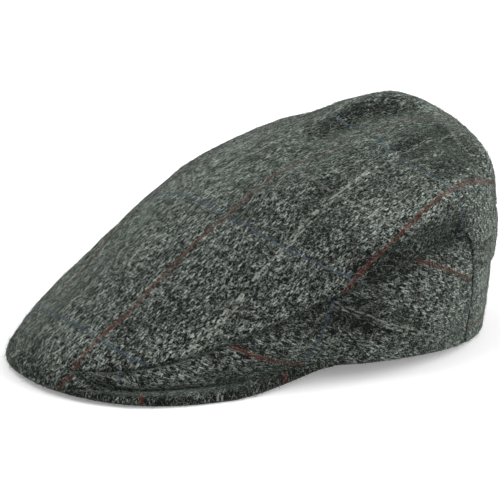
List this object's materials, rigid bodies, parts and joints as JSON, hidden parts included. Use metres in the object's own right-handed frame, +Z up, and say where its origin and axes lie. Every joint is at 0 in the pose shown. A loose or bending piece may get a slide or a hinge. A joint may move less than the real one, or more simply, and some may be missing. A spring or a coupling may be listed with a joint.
{
  "type": "flat cap",
  "caption": "Tweed flat cap with a rounded top falling forward onto a short covered peak, tapering side panels, a low back panel and an open, hollow inside for the head.",
  "frame": {"origin": "middle of the cap's box in plan, on the surface that the cap rests on", "axes": "+Z up, -Y towards the peak, +X towards the wearer's left"},
  "size_m": [0.1884, 0.2658, 0.1181],
  "materials": {
    "tweed": "heathered charcoal and grey wool tweed with a thin red, blue and cream overcheck, matt and hairy"
  },
  "bodies": {
    "root": {"top_panel": "tweed", "side_panel_left": "tweed", "side_panel_right": "tweed", "back_panel": "tweed", "peak": "tweed"}
  },
  "joints": []
}
